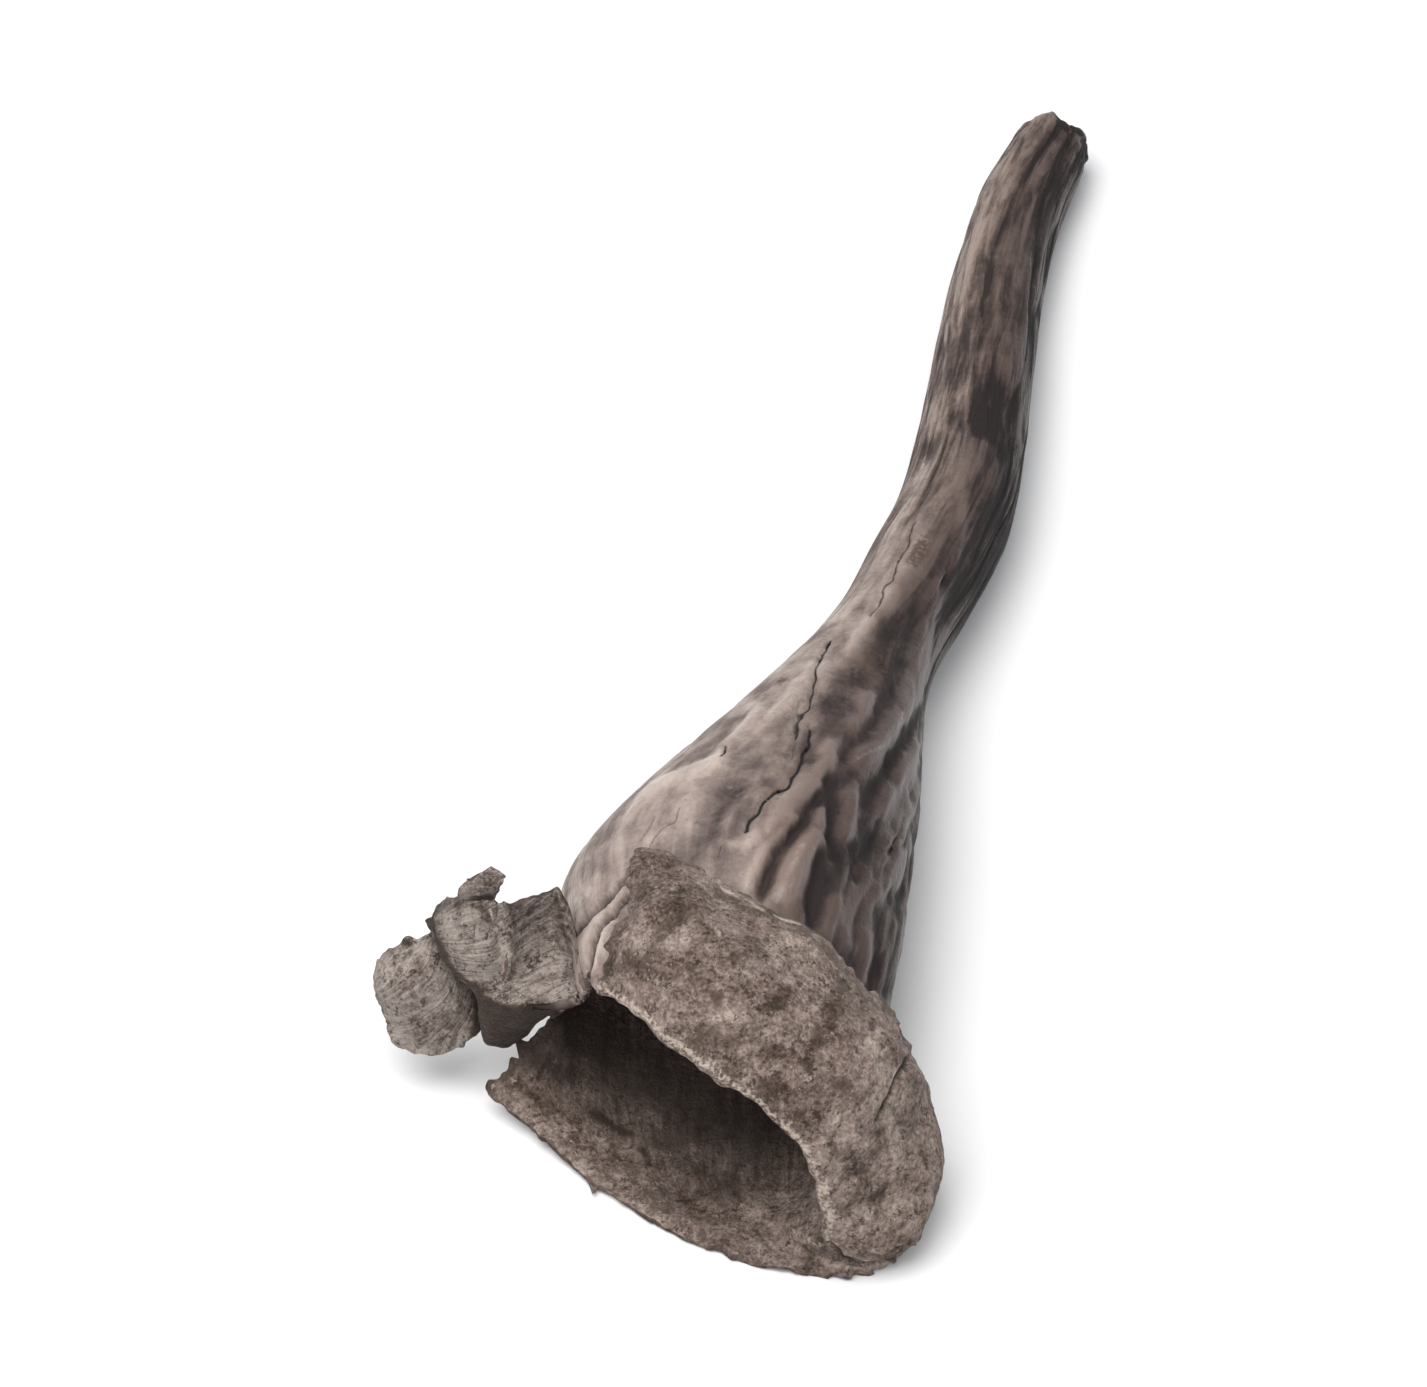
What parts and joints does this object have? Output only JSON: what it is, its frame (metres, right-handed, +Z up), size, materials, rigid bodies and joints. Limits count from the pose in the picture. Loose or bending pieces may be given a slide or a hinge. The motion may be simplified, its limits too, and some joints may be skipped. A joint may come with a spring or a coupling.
{
  "type": "dried black trumpet mushroom",
  "caption": "Dried black trumpet mushroom lying on its side: hollow stem, flattened open funnel, folded-back suede lip and a torn curled strip of rim.",
  "frame": {"origin": "on the floor, below the middle of the mushroom's bounding box", "axes": "+Z up, +Y from the mouth towards the root end of the stem, +X to the right as seen from the mouth"},
  "size_m": [0.0418, 0.0964, 0.0171],
  "materials": {
    "dried_flesh": "matt, grey-taupe dried flesh; satin and wrinkled outside, suede-like with dark specks inside"
  },
  "bodies": {
    "root": {"mushroom": "dried_flesh"}
  },
  "joints": []
}
